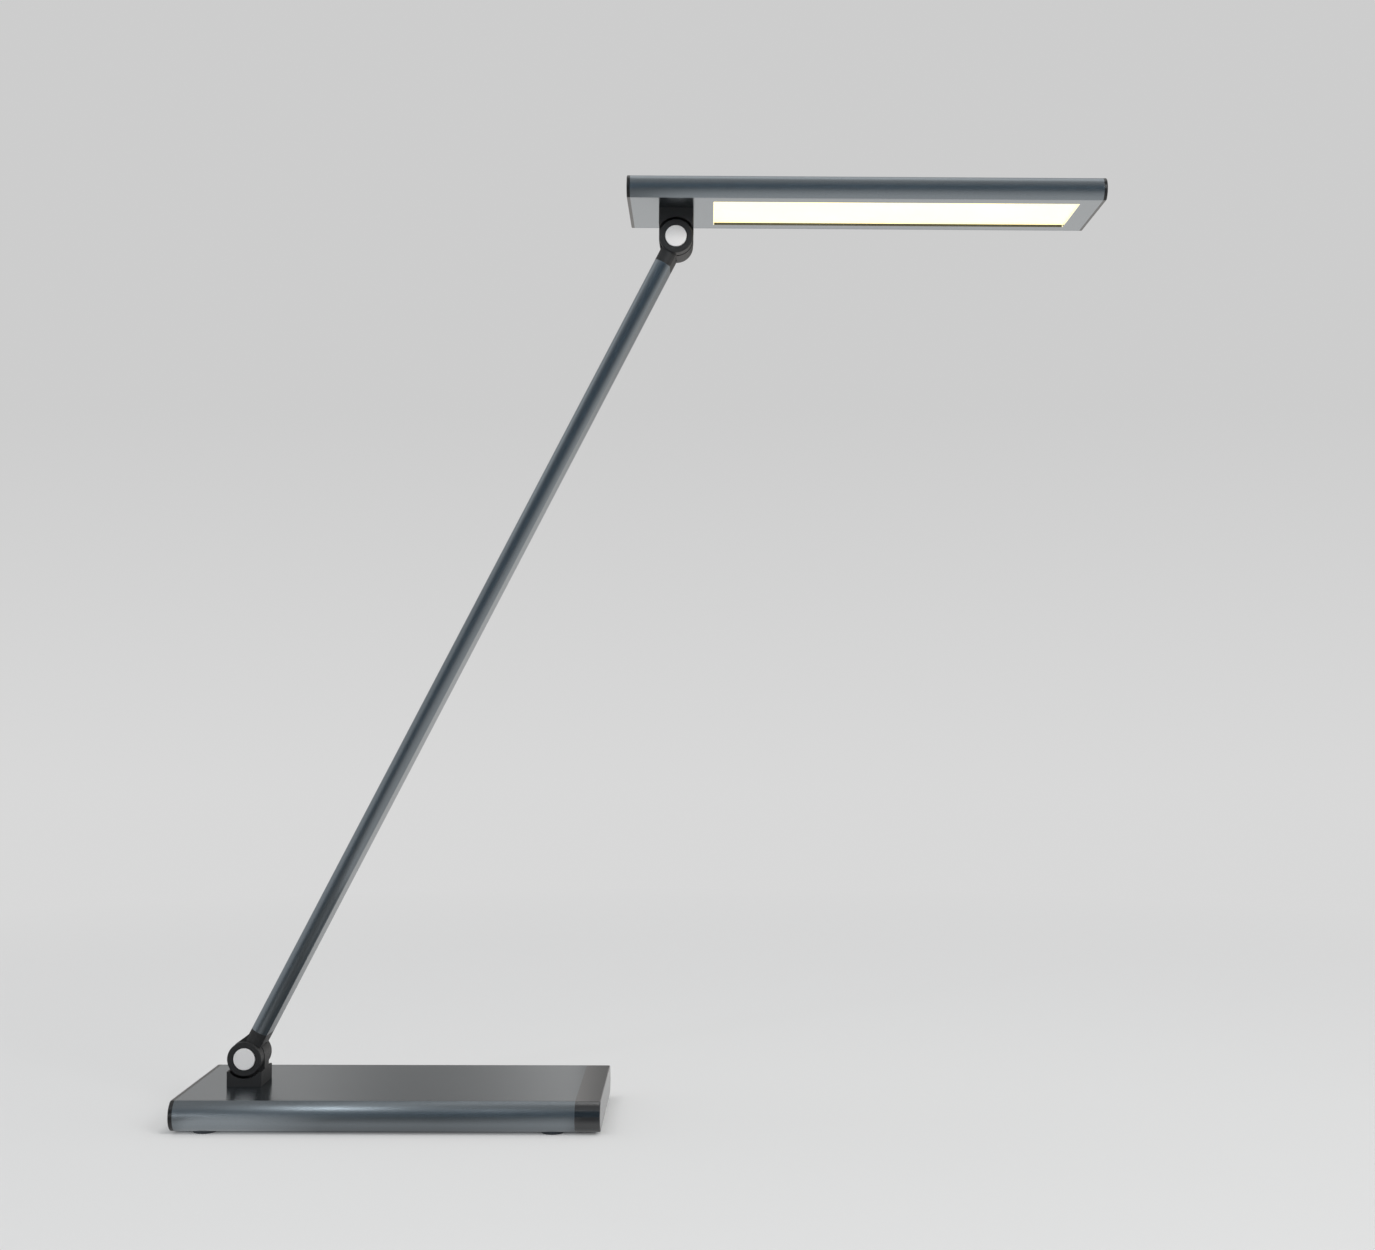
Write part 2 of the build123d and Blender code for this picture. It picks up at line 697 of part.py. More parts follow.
panel_start = HEAD_PIVOT_INSET + BRACKET_WIDTH / 2 + PANEL_BRACKET_GAP
panel_end = HEAD_LENGTH - PANEL_END_MARGIN
panel_half = HEAD_FLAT_DEPTH / 2 - PANEL_SIDE_MARGIN
sheet_length = (panel_start - PANEL_LAP, panel_end + PANEL_LAP)
sheet_half = panel_half + PANEL_LAP
guide_floor = HEAD_WALL + DIFFUSER_THICKNESS
guide_top = guide_floor + GUIDE_THICKNESS
plate_floor = guide_top + REFLECTOR_THICKNESS
plate_top = plate_floor + BACK_PLATE_THICKNESS
led_front = sheet_half + PANEL_FIT
led_back = led_front + LED_DEPTH
led_board_back = led_back + LED_BOARD_THICKNESS
head_ceiling = HEAD_THICKNESS - HEAD_WALL


def at_head_middle(shape):
    """Lifts a section-centred shape to the middle of the head's thickness."""
    return Pos(0, 0, HEAD_THICKNESS / 2) * shape


def head_extrusion():
    end = HEAD_LENGTH - HEAD_FLANGE
    body = at_head_middle(HEAD.tube(HEAD_FLANGE, end))
    rail_length = (HEAD_FLANGE + HEAD_SPIGOT_REACH + SPIGOT_FIT, end - HEAD_SPIGOT_REACH - SPIGOT_FIT)
    inner = sheet_half + PANEL_FIT
    for low in (inner, -inner - PANEL_RAIL_WIDTH):
        height = (HEAD_WALL, guide_floor - PANEL_FIT)
        body += block(rail_length, (low, low + PANEL_RAIL_WIDTH), height)
    body -= block((panel_start, panel_end), (-panel_half, panel_half), (0, HEAD_WALL))
    for hole in bracket_holes(HEAD_PIVOT_RISE, HEAD_WALL):
        body -= head_frame.inverse() * head_bracket_frame * hole
    return body


def head_cap():
    return end_cap(HEAD, HEAD_FLANGE, HEAD_FLANGE, HEAD_SPIGOT_REACH)


def head_left_cap():
    return at_head_middle(Pos(HEAD_FLANGE, 0, 0) * Rot(0, 0, 180) * head_cap())


def head_right_cap():
    return at_head_middle(Pos(HEAD_LENGTH - HEAD_FLANGE, 0, 0) * head_cap())


def sheet(floor, top):
    """One sheet of the panel's stack."""
    return block(sheet_length, (-sheet_half, sheet_half), (floor, top))


def back_plate():
    """A plate over the stack, with a flange down behind the LED board."""
    back = led_board_back + BACK_PLATE_THICKNESS
    body = block(sheet_length, (-sheet_half, back), (plate_floor, plate_top))
    return body + block(sheet_length, (led_board_back, back), (guide_floor, plate_floor))


def led_board():
    return block(sheet_length, (led_back, led_board_back), (guide_floor, guide_top))


def led_chips():
    """A row of chips on the board, facing the rear edge of the light guide."""
    pitch = (panel_end - panel_start) / LED_COUNT
    middle = (guide_floor + guide_top) / 2
    chips = []
    for number in range(LED_COUNT):
        x = panel_start + pitch * (number + 0.5)
        chips.append(block(around(x, LED_LENGTH), (led_front, led_back), around(middle, LED_HEIGHT)))
    return chips


def pressure_pads():
    """Foam strips between the back plate and the top of the head."""
    length = (panel_start + PAD_END_GAP, panel_end - PAD_END_GAP)
    return [block(length, around(y, PAD_DEPTH), (plate_top, head_ceiling)) for y in around(0, PAD_SPACING)]


def head_lead():
    """From the bracket, through the head's floor, to the end of the LED board."""
    wire_x = HEAD_PIVOT_INSET - WIRE_OFFSET
    board_y = (led_back + led_board_back) / 2
    middle = HEAD_THICKNESS / 2
    height = (guide_floor + guide_top) / 2
    return lead(
        [
            (wire_x, 0, -HEAD_PIVOT_RISE),
            (wire_x, 0, middle),
            (wire_x, board_y, height),
            (sheet_length[0], board_y, height),
        ]
    )


# The nodes of each body, in that body's frame

base_nodes = {
    "base_extrusion": base_extrusion(),
    "base_left_cap": base_left_cap(),
    "base_right_cap": base_right_cap(),
    "ballast_plate": ballast_plate(),
    "ballast_screws": ballast_screws(),
    "driver_board": driver_board(),
    "driver_components": driver_components(),
    "board_spacers": board_spacers(),
    "dc_inlet": dc_inlet(),
    "dc_pin": dc_pin(),
    "touch_board": touch_board(),
    "touch_electrode": touch_electrode(),
    "base_feet": base_feet(),
    "inlet_lead": inlet_lead(),
    "base_lead": base_lead(),
    "touch_lead": touch_lead(),
}
base_bracket_nodes = {
    "base_bracket": bracket(BASE_PIVOT_RISE),
    "base_bracket_screws": bracket_screws(BASE_PIVOT_RISE, BASE_WALL),
}
arm_nodes = {
    "arm_tube": arm_tube(),
    "lower_fork": fork(LOWER_WEB_REACH),
    "fork_screws": fork_screws(),
    "arm_lead": arm_lead(),
    **pivot_parts("lower"),
}
# The upper fork is the lower one's mirror image, so that its web is on the back of the arm too
upper_end = Pos(ARM_LENGTH, 0, 0)
upper_nodes = {"upper_fork": mirror(fork(UPPER_WEB_REACH), Plane.YZ), **pivot_parts("upper")}
head_nodes = {
    "head_extrusion": head_extrusion(),
    "head_left_cap": head_left_cap(),
    "head_right_cap": head_right_cap(),
    "diffuser": sheet(HEAD_WALL, guide_floor),
    "light_guide": sheet(guide_floor, guide_top),
    "reflector_sheet": sheet(guide_top, plate_floor),
    "back_plate": back_plate(),
    "led_board": led_board(),
    "led_chips": led_chips(),
    "pressure_pads": pressure_pads(),
    "head_lead": head_lead(),
}
head_bracket_nodes = {
    "head_bracket": bracket(HEAD_PIVOT_RISE),
    "head_bracket_screws": bracket_screws(HEAD_PIVOT_RISE, HEAD_WALL),
}
groups = [
    (base_frame, base_nodes),
    (base_bracket_frame, base_bracket_nodes),
    (arm_frame, arm_nodes),
    (arm_frame * upper_end, upper_nodes),
    (head_frame, head_nodes),
    (head_bracket_frame, head_bracket_nodes),
]

os.makedirs("parts", exist_ok=True)
for frame, nodes in groups:
    for name, shape in nodes.items():
        solids = shape if isinstance(shape, list) else [shape]
        placed = [frame * solid for solid in solids]
        node = placed[0] if len(placed) == 1 else Compound(children=placed)
        export_step(node, f"parts/{name}.step")
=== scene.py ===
import json
from math import pi, radians

import bpy
from mathutils import Matrix, Vector


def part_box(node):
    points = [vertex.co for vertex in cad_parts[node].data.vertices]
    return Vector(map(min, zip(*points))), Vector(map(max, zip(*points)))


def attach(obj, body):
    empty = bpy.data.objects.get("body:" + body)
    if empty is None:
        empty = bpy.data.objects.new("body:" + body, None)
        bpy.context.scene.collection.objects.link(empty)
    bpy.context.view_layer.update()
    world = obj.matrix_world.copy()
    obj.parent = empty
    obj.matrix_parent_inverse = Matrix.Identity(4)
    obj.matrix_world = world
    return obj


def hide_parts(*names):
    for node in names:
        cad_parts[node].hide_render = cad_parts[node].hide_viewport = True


# The looks of a desk lamp: three satin anodised extrusions, black hinges and a lit panel.
# Everything is in metres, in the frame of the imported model.

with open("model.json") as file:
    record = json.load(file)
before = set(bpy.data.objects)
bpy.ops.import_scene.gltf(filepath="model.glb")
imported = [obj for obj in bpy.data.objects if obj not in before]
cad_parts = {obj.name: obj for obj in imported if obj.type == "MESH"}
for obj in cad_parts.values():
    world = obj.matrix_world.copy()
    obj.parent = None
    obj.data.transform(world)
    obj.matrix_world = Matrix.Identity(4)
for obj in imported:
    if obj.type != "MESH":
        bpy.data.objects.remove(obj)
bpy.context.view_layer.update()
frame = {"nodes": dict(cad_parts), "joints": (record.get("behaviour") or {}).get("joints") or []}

MM = 0.001

# Sizes of the pieces made here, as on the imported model
FOOT_RADIUS = 5.5 * MM
FOOT_EDGE = 0.5 * MM
FOOT_DISH = 3.9 * MM
FOOT_DISH_DEPTH = 0.3 * MM
BALLAST_SCREW_HEAD = 3.6 * MM
BALLAST_SCREW_SHANK = 2.0 * MM
BALLAST_SCREW_LENGTH = 7.8 * MM
FORK_SCREW_HEAD = 2.3 * MM
FORK_SCREW_SHANK = 1.25 * MM
FORK_SCREW_LENGTH = 2.5 * MM
FORK_SCREW_REACH = 24.2 * MM  # pivot to screw, along the arm
ARM_HALF_WIDTH = 4.0 * MM
DISC_RADIUS = 5.25 * MM
DISC_THICKNESS = 1.0 * MM
DISC_EDGE = 0.25 * MM
DISC_FACE = DISC_RADIUS - 2.2 * DISC_EDGE
TURNED_FACES = 96  # round a turned piece
SAME_PLACE = 0.01 * MM  # slack in finding a ring of edges
SMOOTH_ANGLE = radians(35)

# Parts of a countersunk screw, as shares of its head, shank or length
SCREW_RIM = 0.06  # of the head
SCREW_POINT = 0.75  # of the shank
SCREW_POINT_LENGTH = 0.25  # of the shank
CROSS_ARM = 0.56  # of the head
CROSS_WIDTH = 0.2  # of the head
CROSS_DEPTH = 0.5  # of the head, at most
CROSS_LIMIT = 0.55  # of the length, at most
CROSS_FOOT = 0.35  # of the mouth

# Sizes on the extrusions that the finishes keep to
HEAD_DROOP = 0.52  # degrees, right end down
BASE_FLAT = 43.35 * MM  # half depths, centre line to bow
HEAD_FLAT = 30.0 * MM
FLAT_BLEND = 2.0 * MM
PANEL_LAP = 2.35 * MM  # panel's sheets past the opening, less a margin
WALL_REACH = 3.5 * MM  # panel to underside
END_WALL_DEPTH = 0.5 * MM

# Colours and levels of the anodising
ANODISED = ((0.214, 0.238, 0.256), (0.222, 0.246, 0.264))
# Painted shade on the side walls of the head's opening and painted light on its end walls
PAINTED_SIDE_SHADE = ((0.062, 0.064, 0.070), (0.074, 0.076, 0.082))
PAINTED_END_LIGHT = ((0.72, 0.74, 0.76), (0.78, 0.80, 0.82))
HEAD_PAINTED_LIGHT = 1.2  # than base and arm: painted light, the same anodising made paler for the stronger light on the head
FLAT_ROUGHNESS = 0.75  # of the bows'
ROUGH_ACROSS = 0.25  # turns, so that the metal is rough across the drawn lines

# The sweep
SWEEP_HALF_WIDTH = 5.0
SWEEP_FRONT = -3.0
SWEEP_BACK = 3.2
SWEEP_RADIUS = 1.2
SWEEP_HEIGHT = 3.4
SWEEP_STEPS = 24  # round its curve
PAPER = (0.83, 0.83, 0.825)
PAPER_CLOUD = 1.01
BACKDROP_LOW = (0.690, 0.690, 0.690)
BACKDROP_HIGH = (0.612, 0.612, 0.612)
BACKDROP_CHANGE = (0.0, 1.0)  # heights
NEAR_SHARE = 0.6  # share of even pale grey in the floor round the lamp
FADE = (0.35, 1.1)  # from the lamp's middle, out to nothing but the even grey
CONTACT_REACH = 9.0 * MM  # from full shadow at the foot of the base to the even grey
CONTACT_UNDER = 11.5 * MM  # how far under its bow that starts

# Painted reflection: how light the metal sees the sweep, as painted levels apart from the lit paper:
# spans in metres, and stops of (share of the span, level)
METAL_SHARE = 0.85  # of these levels; the rest is the lit paper
FRONT_IN_METAL = (0.14, 0.155, 0.17)
FLOOR_IN_METAL = (0.70, 0.70, 0.70)
NEAR_FLOOR_IN_METAL = (1.0, 1.0, 1.0)
FAR_FLOOR_IN_METAL = (1.08, 1.05, 1.02)
BACKDROP_IN_METAL = (0.58, 0.565, 0.55)
DEPTH_SPAN = (-1.3, 4.4)  # Y
# Painted reflection levels by depth, with a brighter painted band on the floor near the lamp
DEPTH = (
    (0.0, FRONT_IN_METAL), (0.20, FLOOR_IN_METAL), (0.211, FLOOR_IN_METAL),
    (0.2135, NEAR_FLOOR_IN_METAL), (0.2195, NEAR_FLOOR_IN_METAL),
    (0.222, FLOOR_IN_METAL), (0.24, FLOOR_IN_METAL),
    (0.27, FAR_FLOOR_IN_METAL), (0.90, FAR_FLOOR_IN_METAL), (0.97, BACKDROP_IN_METAL),
)
BEFORE_BASE_SPAN = (-0.14, -0.03)  # Y
# Painted shade: the floor before the base darker in the metal, across the width that BESIDE_BASE gives
PAINTED_SHADE_BEFORE_BASE = (
    (0.0, 0.10), (0.45, 0.12), (0.614, 0.17), (0.679, 0.22), (0.728, 0.34), (0.785, 0.56),
    (0.81, 0.66), (0.85, 0.56), (0.89, 0.46), (0.97, 0.42), (1.0, 1.0),
)
BESIDE_BASE_SPAN = (-0.25, 0.08)  # X
BESIDE_BASE = (
    (0.085, 1.0), (0.11, 0.0), (0.18, 0.0), (0.30, 1.0), (0.47, 1.0), (0.555, 0.80),
    (0.645, 0.50), (0.665, 1.0), (0.70, 1.0), (0.735, 0.0),
)
BACKDROP_SPAN = (-1.4, 0.6)  # X
# Painted reflection: the backdrop lighter and darker across its width in the metal
PAINTED_BACKDROP_BAND = (
    (0.14, 1.0), (0.23, 0.66), (0.285, 0.53), (0.355, 0.57), (0.425, 0.76), (0.49, 1.08),
    (0.53, 1.24), (0.543, 1.32), (0.555, 0.36), (0.62, 0.45), (0.72, 0.70), (0.8, 0.88),
    (0.9, 0.40),
)
BACKDROP_START = (3.6, 4.2)  # Y

# The curtain
CURTAIN_FRONT = -2.2
CURTAIN_WIDTH = 5.0
CURTAIN_HEIGHT = 1.9
CURTAIN_LEFT = ((0.190, 0.255, 0.312), (0.216, 0.286, 0.348))
CURTAIN_RIGHT = ((0.240, 0.324, 0.396), (0.274, 0.363, 0.441))
CURTAIN_CHANGE = (-0.65, -0.35)  # X

# Light from all round: stops of (height, colour), from the horizon at 0 to overhead at 1
STUDIO_AIR = (
    (0.0, (0.60, 0.62, 0.64)),
    (0.30, (0.76, 0.78, 0.80)),
    (0.42, (0.62, 0.635, 0.65)),
    (0.54, (0.36, 0.37, 0.38)),
    (1.0, (0.42, 0.42, 0.42)),
)

# The camera
CAMERA_PLACE = (0.02952, -0.93532, 0.20345)
CAMERA_TILT = 92.129  # degrees
CAMERA_TURN = 0.6

# Directions
LENGTHWAYS = Vector((1, 0, 0))
arm_joint, head_joint = frame["joints"]
lower_pivot = Vector(arm_joint["pos_m"])
upper_pivot = Vector(head_joint["pos_m"])
arm_axis = (upper_pivot - lower_pivot).normalized()
arm_back = Vector((-arm_axis.z, 0, arm_axis.x))
head_axis = Matrix.Rotation(radians(HEAD_DROOP), 3, "Y") @ LENGTHWAYS


# Finishes

def set_stops(ramp, stops):
    """Gives a ramp stops of (position from 0 to 1, colour), in rising order."""
    while len(ramp.elements) < len(stops):
        ramp.elements.new(1.0)
    for element, (position, colour) in zip(ramp.elements, stops):
        element.position = position
        element.color = (*colour, 1)


class Finish:
    """A procedural material: one shader, and the patterns on Object coordinates that feed it."""

    def __init__(self, name, **constants):
        self.material = bpy.data.materials.new(name)
        self.material.use_nodes = True
        self.tree = self.material.node_tree
        self.shader = self.tree.nodes["Principled BSDF"]
        for socket, value in constants.items():
            self.shader.inputs[socket.replace("_", " ")].default_value = value

    def node(self, kind, links=(), **settings):
        """A new node, with its settings and its linked inputs."""
        node = self.tree.nodes.new(kind)
        for name, value in settings.items():
            setattr(node, name, value)
        for socket, source in links:
            self.tree.links.new(source, node.inputs[socket])
        return node

    def feed(self, socket, source):
        self.tree.links.new(source, self.shader.inputs[socket])

    def place(self, along=LENGTHWAYS, centre=(0, 0, 0)):
        """Object coordinates about a centre, turned about Y so that X runs along a direction."""
        coordinates = self.node("ShaderNodeTexCoord").outputs["Object"]
        mapping = self.node("ShaderNodeMapping", [("Vector", coordinates)], vector_type="TEXTURE")
        mapping.inputs["Location"].default_value = centre
        turn = LENGTHWAYS.rotation_difference(Vector(along)).to_euler()
        mapping.inputs["Rotation"].default_value = turn
        return mapping.outputs["Vector"]

    def stretched(self, place, scale):
        """The same coordinates at another scale on each axis."""
        mapping = self.node("ShaderNodeMapping", [("Vector", place)])
        mapping.inputs["Scale"].default_value = scale
        return mapping.outputs["Vector"]

    def parts(self, place):
        """A place's X, Y and Z."""
        return self.node("ShaderNodeSeparateXYZ", [("Vector", place)]).outputs

    def sides(self, place):
        """Distances from the origin of a place along X, Y and Z."""
        size = self.node("ShaderNodeVectorMath", [(0, place)], operation="ABSOLUTE")
        return self.parts(size.outputs["Vector"])

    def length(self, place):
        """Distance from the origin of a place."""
        return self.node("ShaderNodeVectorMath", [(0, place)], operation="LENGTH").outputs["Value"]

    def grain(self, place, scale=1.0, detail=2.0, roughness=0.5):
        """Noise from 0 to 1."""
        node = self.node("ShaderNodeTexNoise", [("Vector", place)])
        node.inputs["Scale"].default_value = scale
        node.inputs["Detail"].default_value = detail
        node.inputs["Roughness"].default_value = roughness
        return node.outputs["Fac"]

    def cells(self, place, scale):
        """Distance to the nearest of many scattered points."""
        node = self.node("ShaderNodeTexVoronoi", [("Vector", place)])
        node.inputs["Scale"].default_value = scale
        return node.outputs["Distance"]

    def between(self, pattern, low, high, start=0.3, end=0.7):
        """A pattern spread from low to high."""
        node = self.node("ShaderNodeMapRange", [("Value", pattern)])
        node.inputs["From Min"].default_value = start
        node.inputs["From Max"].default_value = end
        node.inputs["To Min"].default_value = low
        node.inputs["To Max"].default_value = high
        return node.outputs["Result"]

    def along(self, distance, span):
        """How far a distance is along a span, from 0 to 1."""
        return self.between(distance, 0.0, 1.0, *span)

    def stops(self, pattern, stops):
        """A colour that goes through stops of (position from 0 to 1, colour) with a pattern."""
        node = self.node("ShaderNodeValToRGB", [("Fac", pattern)])
        set_stops(node.color_ramp, stops)
        return node.outputs["Color"]

    def levels(self, pattern, stops):
        """A grey that goes through stops of (position from 0 to 1, level) with a pattern."""
        return self.stops(pattern, [(position, (level,) * 3) for position, level in stops])

    def tint(self, pattern, first, second, start=0.3, end=0.7):
        """A colour that goes from first to second with a pattern."""
        return self.stops(pattern, [(start, first), (end, second)])

    def joined(self, operation, *values):
        """Numbers added, multiplied or compared, each a pattern or a plain number."""
        node = self.node("ShaderNodeMath", operation=operation)
        for socket, value in zip(node.inputs, values):
            if isinstance(value, (int, float)):
                socket.default_value = value
            else:
                self.tree.links.new(value, socket)
        return node.outputs["Value"]

    def inside(self, place, half):
        """1 within a box of these half sizes about the origin of a place, else 0."""
        within = 1.0
        for distance, limit in zip(self.sides(place), half):
            within = self.joined("MULTIPLY", self.joined("LESS_THAN", distance, limit), within)
        return within

    def mixed(self, first, second, share, way="MIX"):
        """A colour mixed with, or multiplied by, another to a share from 0 to 1."""
        mix = self.node("ShaderNodeMix", data_type="RGBA", blend_type=way)
        for socket, source in ((0, share), (6, first), (7, second)):
            self.tree.links.new(source, mix.inputs[socket])
        return mix.outputs[2]

    def relief(self, *layers):
        """Bumps of (pattern, height in metres), laid over each other."""
        normal = None
        for pattern, height in layers:
            links = [("Height", pattern)]
            if normal:
                links.append(("Normal", normal))
            bump = self.node("ShaderNodeBump", links)
            bump.inputs["Strength"].default_value = 1.0
            bump.inputs["Distance"].default_value = height
            normal = bump.outputs["Normal"]
        self.feed("Normal", normal)


def satin_anodised(name, along, flat=None, paler=1.0, painted_walls=None):
    """Gunmetal anodising over fine lines drawn along the extrusion, with a blasted grain.

    Flat faces, of half depth flat, take a smoother drawing than the bows. Cut walls take painted shade
    and painted light from a function of their own.
    """
    finish = Finish(name, Metallic=1.0, Anisotropic=0.9, Anisotropic_Rotation=ROUGH_ACROSS)
    place = finish.place(along)
    drawn = finish.grain(finish.stretched(place, (7, 7000, 7000)))
    blasted = finish.grain(place, scale=5200, roughness=0.6)
    cloud = finish.grain(place, scale=14, detail=3.0)
    # paler lifts the whole colour; for the head this is painted light
    dark, light = (tuple(paler * part for part in colour) for colour in ANODISED)
    colour = finish.tint(cloud, dark, light)
    # Painted shade and painted light on the cut walls of an opening, from the function given
    if painted_walls:
        colour = painted_walls(finish, along, colour)
    finish.feed("Base Color", colour)
    both_grains = finish.joined("ADD", drawn, blasted)
    rough = finish.between(both_grains, low=0.270, high=0.295, start=0.7, end=1.3)
    if flat:
        depth = finish.sides(place)["Y"]
        smoother = finish.between(depth, FLAT_ROUGHNESS, 1.0, flat - FLAT_BLEND, flat)
        rough = finish.joined("MULTIPLY", rough, smoother)
    finish.feed("Roughness", rough)
    finish.relief((drawn, 2e-7))
    lines = finish.node("ShaderNodeCombineXYZ")
    for axis, value in zip("XYZ", along):
        lines.inputs[axis].default_value = value
    tangent = finish.node(
        "ShaderNodeVectorTransform", [("Vector", lines.outputs["Vector"])],
        vector_type="VECTOR", convert_from="OBJECT", convert_to="WORLD",
    )
    finish.feed("Tangent", tangent.outputs["Vector"])
    return finish.material


def painted_opening_walls(finish, along, colour):
    """Paints the cut walls of the panel's opening: painted shade on the dark sides and painted light on
    the bright ends.
    """
    low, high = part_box("diffuser")
    about = finish.place(along, (low + high) / 2)
    length, depth = ((high[axis] - low[axis]) / 2 - PANEL_LAP for axis in (0, 1))
    cloud = finish.grain(about, scale=14, detail=3.0)
    # Masks for the painted wall colours: all cut walls, then the side walls alone
    walls = finish.inside(about, (length, depth, WALL_REACH))
    shaded_sides = finish.inside(about, (length - END_WALL_DEPTH, depth, WALL_REACH))
    colour = finish.mixed(colour, finish.tint(cloud, *PAINTED_END_LIGHT), walls)
    return finish.mixed(colour, finish.tint(cloud, *PAINTED_SIDE_SHADE), shaded_sides)


def powder_coat():
    """Black powder coat of the hinges: a fine orange peel."""
    finish = Finish("black_powder_coat", Specular_IOR_Level=0.3)
    place = finish.place()
    peel = finish.grain(place, scale=1500, roughness=0.4)
    dust = finish.cells(place, scale=2600)
    finish.feed("Base Color", finish.tint(peel, (0.017, 0.017, 0.0175), (0.022, 0.022, 0.0225)))
    finish.feed("Roughness", finish.between(peel, low=0.46, high=0.6))
    finish.relief((peel, 1.4e-5), (dust, 5e-6))
    return finish.material


def moulded_black():
    """Black end caps: moulded with a fine eroded grain."""
    finish = Finish("moulded_black_plastic", IOR=1.5, Specular_IOR_Level=0.5)
    place = finish.place()
    eroded = finish.grain(place, scale=2400, detail=4.0, roughness=0.65)
    cloud = finish.grain(place, scale=60)
    finish.feed("Base Color", finish.tint(cloud, (0.005, 0.005, 0.0055), (0.008, 0.008, 0.0085)))
    finish.feed("Roughness", finish.between(eroded, low=0.26, high=0.36))
    finish.relief((eroded, 2e-6))
    return finish.material


def touch_plastic():
    """Smooth dark grey plastic of the touch cap, with a soft sheen."""
    finish = Finish("satin_touch_plastic", IOR=1.8, Specular_IOR_Level=0.6)
    place = finish.place()
    fine = finish.grain(place, scale=3200)
    cloud = finish.grain(place, scale=35, detail=3.0)
    finish.feed("Base Color", finish.tint(cloud, (0.0035, 0.0055, 0.0085), (0.005, 0.007, 0.0105)))
    finish.feed("Roughness", finish.between(fine, low=0.17, high=0.23))
    finish.relief((fine, 6e-7))
    return finish.material


def turned_disc(name, centre):
    """Bright hinge cap: satin aluminium, turned in fine rings about the pivot."""
    finish = Finish(name, Metallic=1.0)
    place = finish.place(centre=centre)
    parts = finish.parts(place)
    face = finish.node("ShaderNodeCombineXYZ", [("X", parts["X"]), ("Y", parts["Z"])])
    radius = finish.length(face.outputs["Vector"])
    spread = finish.node("ShaderNodeCombineXYZ", [("X", radius)])
    rings = finish.grain(finish.stretched(spread.outputs["Vector"], (6500, 1, 1)), detail=3.0)
    fine = finish.grain(place, scale=2600)
    finish.feed("Base Color", finish.tint(rings, (0.94, 0.925, 0.915), (0.98, 0.965, 0.955)))
    finish.feed("Roughness", finish.between(fine, low=0.80, high=0.92))
    finish.relief((rings, 2.5e-6))
    return finish.material


def lit_opal():
    """Opal cover of the lit panel: even light with a faint dot pattern."""
    finish = Finish("lit_opal_cover", Roughness=0.45)
    low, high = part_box("diffuser")
    place = finish.place(centre=(low + high) / 2)
    dots = finish.cells(place, scale=1400)
    cloud = finish.grain(place, scale=30)
    finish.feed("Base Color", finish.tint(cloud, (0.44, 0.435, 0.42), (0.47, 0.465, 0.45)))
    finish.feed("Emission Color", finish.tint(cloud, (1.0, 0.84, 0.37), (1.0, 0.86, 0.39)))
    finish.feed("Emission Strength", finish.between(dots, low=1.46, high=1.53, start=0.0, end=0.6))
    finish.relief((dots, 4e-6))
    return finish.material


def foot_rubber():
    """Dark rubber with a dusty, fine pebbled skin."""
    finish = Finish("dark_foot_rubber")
    place = finish.place()
    pebbles = finish.cells(place, scale=1800)
    cloud = finish.grain(place, scale=220, detail=3.0)
    finish.feed("Base Color", finish.tint(cloud, (0.022, 0.028, 0.036), (0.034, 0.042, 0.052)))
    finish.feed("Roughness", finish.between(cloud, low=0.55, high=0.75))
    finish.relief((pebbles, 1.5e-5))
    return finish.material


def plain_metal(name, colour, rough):
    """Bare or plated metal with small scratches."""
    finish = Finish(name, Metallic=1.0)
    place = finish.place()
    scratches = finish.grain(finish.stretched(place, (900, 7000, 3000)), detail=3.0)
    cloud = finish.grain(place, scale=260, detail=3.0)
    dull = tuple(0.88 * part for part in colour)
    finish.feed("Base Color", finish.tint(cloud, dull, colour))
    finish.feed("Roughness", finish.between(scratches, rough - 0.06, rough + 0.08))
    finish.relief((scratches, 2e-6))
    return finish.material


def soft_surface(name, first, second, scale, rough, height):
    """A plain moulded, foamed or sheathed surface with a grain of its own size."""
    finish = Finish(name)
    grain = finish.grain(finish.place(), scale, detail=3.0)
    finish.feed("Base Color", finish.tint(grain, first, second))
    finish.feed("Roughness", finish.between(grain, rough - 0.08, rough + 0.08))
    finish.relief((grain, height))
    return finish.material


def solder_mask():
    """Green circuit board with paler copper tracks under the mask."""
    finish = Finish("green_solder_mask")
    place = finish.place()
    tracks = finish.node("ShaderNodeTexBrick", [("Vector", place)])
    tracks.inputs["Scale"].default_value = 260
    tracks.inputs["Mortar Size"].default_value = 0.012
    tracks.inputs["Color1"].default_value = (0.018, 0.105, 0.050, 1)
    tracks.inputs["Color2"].default_value = (0.022, 0.118, 0.056, 1)
    tracks.inputs["Mortar"].default_value = (0.045, 0.185, 0.085, 1)
    finish.feed("Base Color", tracks.outputs["Color"])
    finish.feed("Roughness", finish.between(finish.grain(place, scale=1200), low=0.28, high=0.4))
    finish.relief((tracks.outputs["Fac"], 1e-5))
    return finish.material


def clear_guide():
    """Clear acrylic light guide with a field of printed dots."""
    finish = Finish("clear_acrylic_guide", Roughness=0.08, IOR=1.49, Transmission_Weight=0.9)
    dots = finish.cells(finish.place(), scale=700)
    clear, printed = (0.97, 0.97, 0.97), (0.90, 0.95, 0.96)
    finish.feed("Base Color", finish.tint(dots, clear, printed, start=0.18, end=0.24))
    return finish.material


def phosphor():
    """Yellow phosphor face of the light chips."""
    finish = Finish("led_phosphor", Roughness=0.35)
    grain = finish.grain(finish.place(), scale=2500)
    finish.feed("Base Color", finish.tint(grain, (0.80, 0.62, 0.16), (0.90, 0.74, 0.26)))
    finish.relief((grain, 1e-5))
    return finish.material


# Turned and recessed pieces

